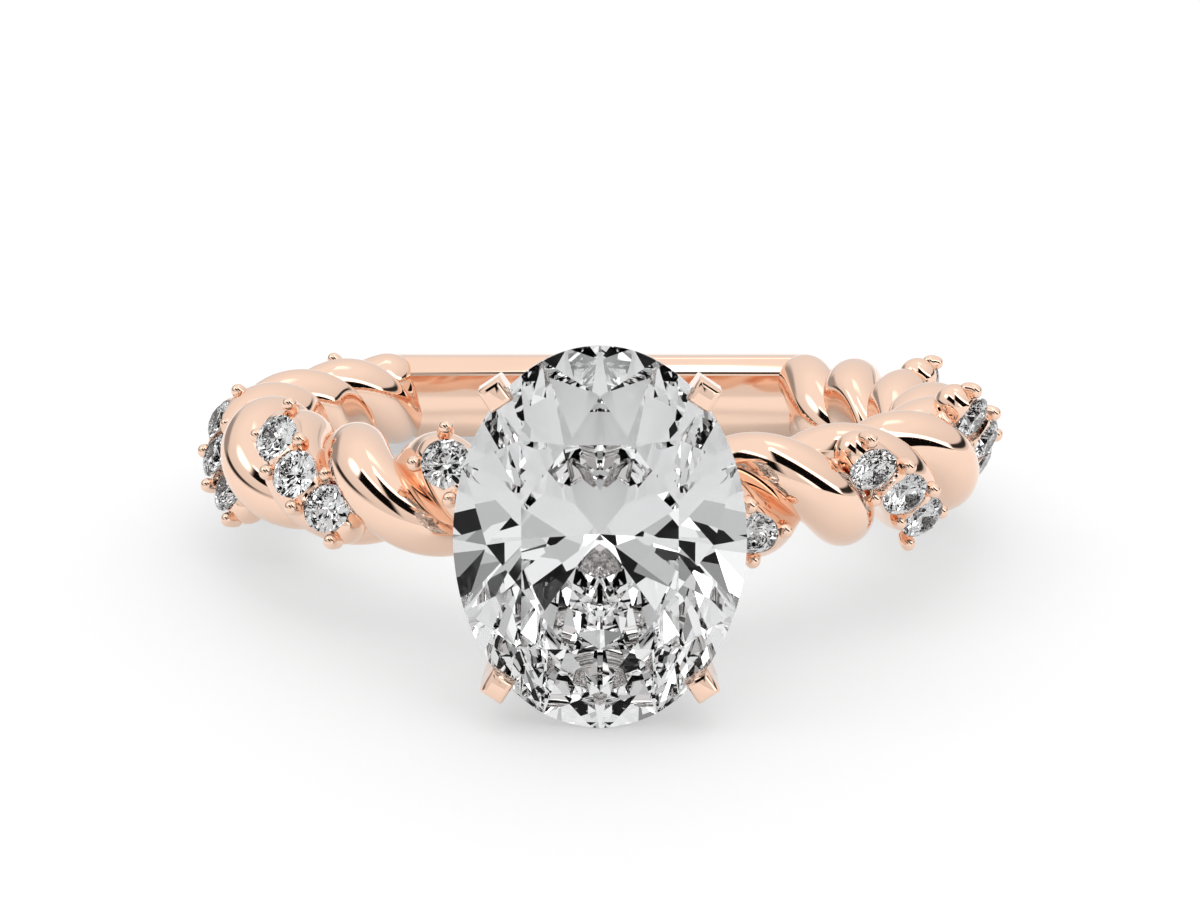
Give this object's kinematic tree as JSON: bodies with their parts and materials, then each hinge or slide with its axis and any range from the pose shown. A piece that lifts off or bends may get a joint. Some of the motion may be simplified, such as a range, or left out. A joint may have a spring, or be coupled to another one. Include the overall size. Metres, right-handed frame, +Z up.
{
  "type": "twisted shank ring",
  "caption": "Finger ring lying on its side: a shank of two twisted strands with rows of small round stones, a straight bar at the back and an oval stone in claws.",
  "frame": {"origin": "middle of the bounding box, on the surface the ring lies on", "axes": "+Z up from that surface; -Y towards the front, where the centre stone is; +X to the right seen from the front"},
  "size_m": [0.0222, 0.0248, 0.0089],
  "materials": {
    "metal": "polished rose gold",
    "centre_stone": "clear faceted stone",
    "small_stones": "clear faceted stone"
  },
  "bodies": {
    "root": {"band": "metal", "centre_stone": "centre_stone", "accent_stone_1": "small_stones", "accent_stone_2": "small_stones", "accent_stone_3": "small_stones", "accent_stone_4": "small_stones", "accent_stone_5": "small_stones", "accent_stone_6": "small_stones", "accent_stone_7": "small_stones", "accent_stone_8": "small_stones", "accent_stone_9": "small_stones", "accent_stone_10": "small_stones", "accent_stone_11": "small_stones", "accent_stone_12": "small_stones", "accent_stone_13": "small_stones", "accent_stone_14": "small_stones", "accent_stone_15": "small_stones", "accent_stone_16": "small_stones", "accent_stone_17": "small_stones", "accent_stone_18": "small_stones", "accent_stone_19": "small_stones", "accent_stone_20": "small_stones", "accent_stone_21": "small_stones", "accent_stone_22": "small_stones", "accent_stone_23": "small_stones", "accent_stone_24": "small_stones"}
  },
  "joints": []
}
